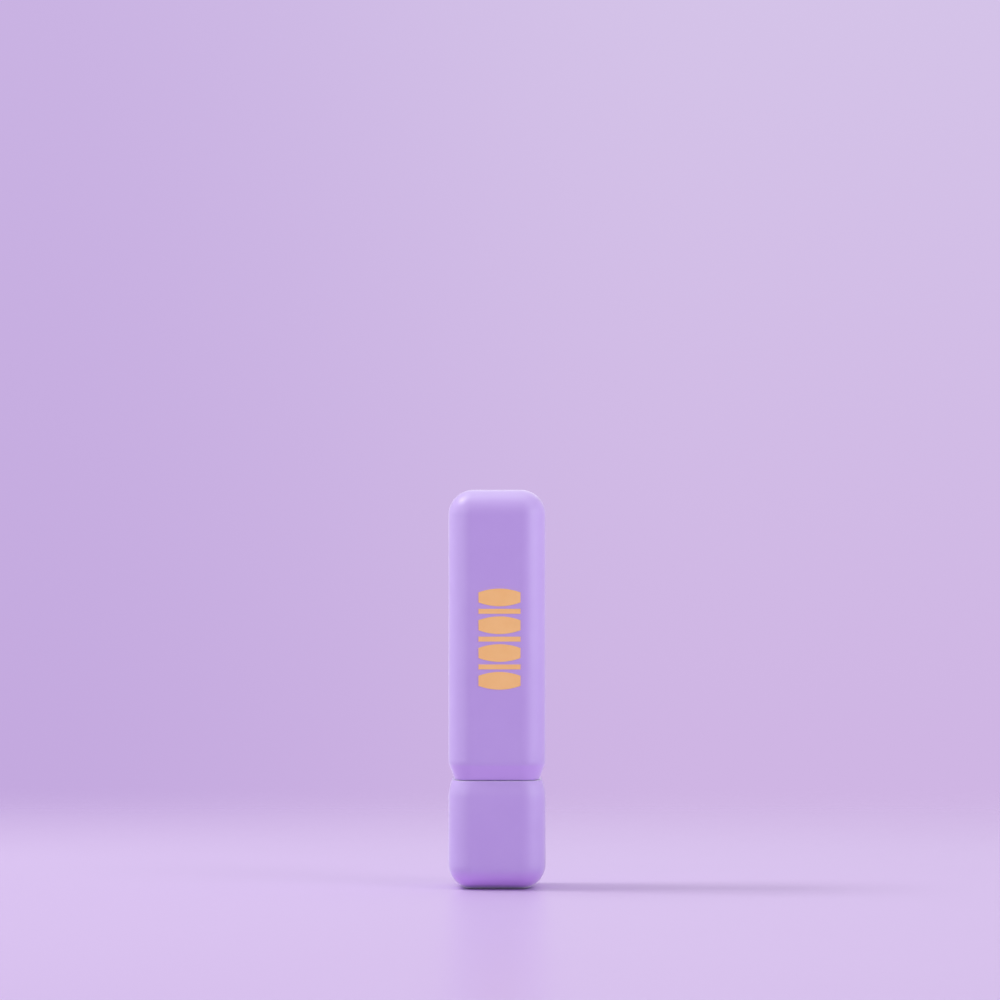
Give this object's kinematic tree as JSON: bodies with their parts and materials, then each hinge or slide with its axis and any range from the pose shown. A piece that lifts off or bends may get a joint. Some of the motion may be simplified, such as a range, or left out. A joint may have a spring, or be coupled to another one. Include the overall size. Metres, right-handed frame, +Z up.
{
  "type": "lip balm stick",
  "caption": "Closed square lip balm stick with round corners, a pull-off cap, a short twist base and a wind-up tinted balm.",
  "frame": {"origin": "middle of the foot, on the surface that the stick stands on", "axes": "+Z up along the stick, -Y the way the printed face looks, +X to the right of someone who looks at that face"},
  "size_m": [0.0196, 0.0196, 0.08],
  "materials": {
    "case_soft_touch": "moulded ABS with a matte lavender soft-touch coat",
    "print_ink": "apricot screen print, satin",
    "insert_plastic": "bare moulded ABS, satin lavender",
    "liner_plastic": "moulded polypropylene, pale lavender",
    "neck_aluminium": "drawn and anodised, satin",
    "sleeve_plastic": "moulded acetal, natural white",
    "cup_plastic": "moulded polypropylene, white",
    "ring_rubber": "moulded silicone, clear white",
    "balm_wax": "cast tinted wax balm, soft gloss"
  },
  "bodies": {
    "base": {"base_shell": "case_soft_touch", "base_insert": "insert_plastic", "guide_sleeve": "sleeve_plastic", "drag_ring": "ring_rubber"},
    "neck": {"neck_sleeve": "neck_aluminium", "spiral_sleeve": "sleeve_plastic"},
    "stick": {"carrier_cup": "cup_plastic", "balm_stick": "balm_wax"},
    "cap": {"cap_shell": "case_soft_touch", "cap_liner": "liner_plastic", "cap_print": "print_ink"}
  },
  "joints": [
    {"name": "cap_pull", "type": "slide", "parent": "base", "child": "cap", "axis": [0, 0, 1], "range_m": [0, 0.06]},
    {"name": "neck_twist", "type": "hinge", "parent": "base", "child": "neck", "pos_m": [0, 0, 0.03], "axis": [0, 0, -1], "range_deg": [0, 720]},
    {"name": "stick_rise", "type": "slide", "parent": "base", "child": "stick", "axis": [0, 0, 1], "range_m": [0, 0.026]}
  ],
  "couplings": [
    {"joint": "stick_rise", "follows": "neck_twist", "m_per_rad": 0.002069}
  ]
}
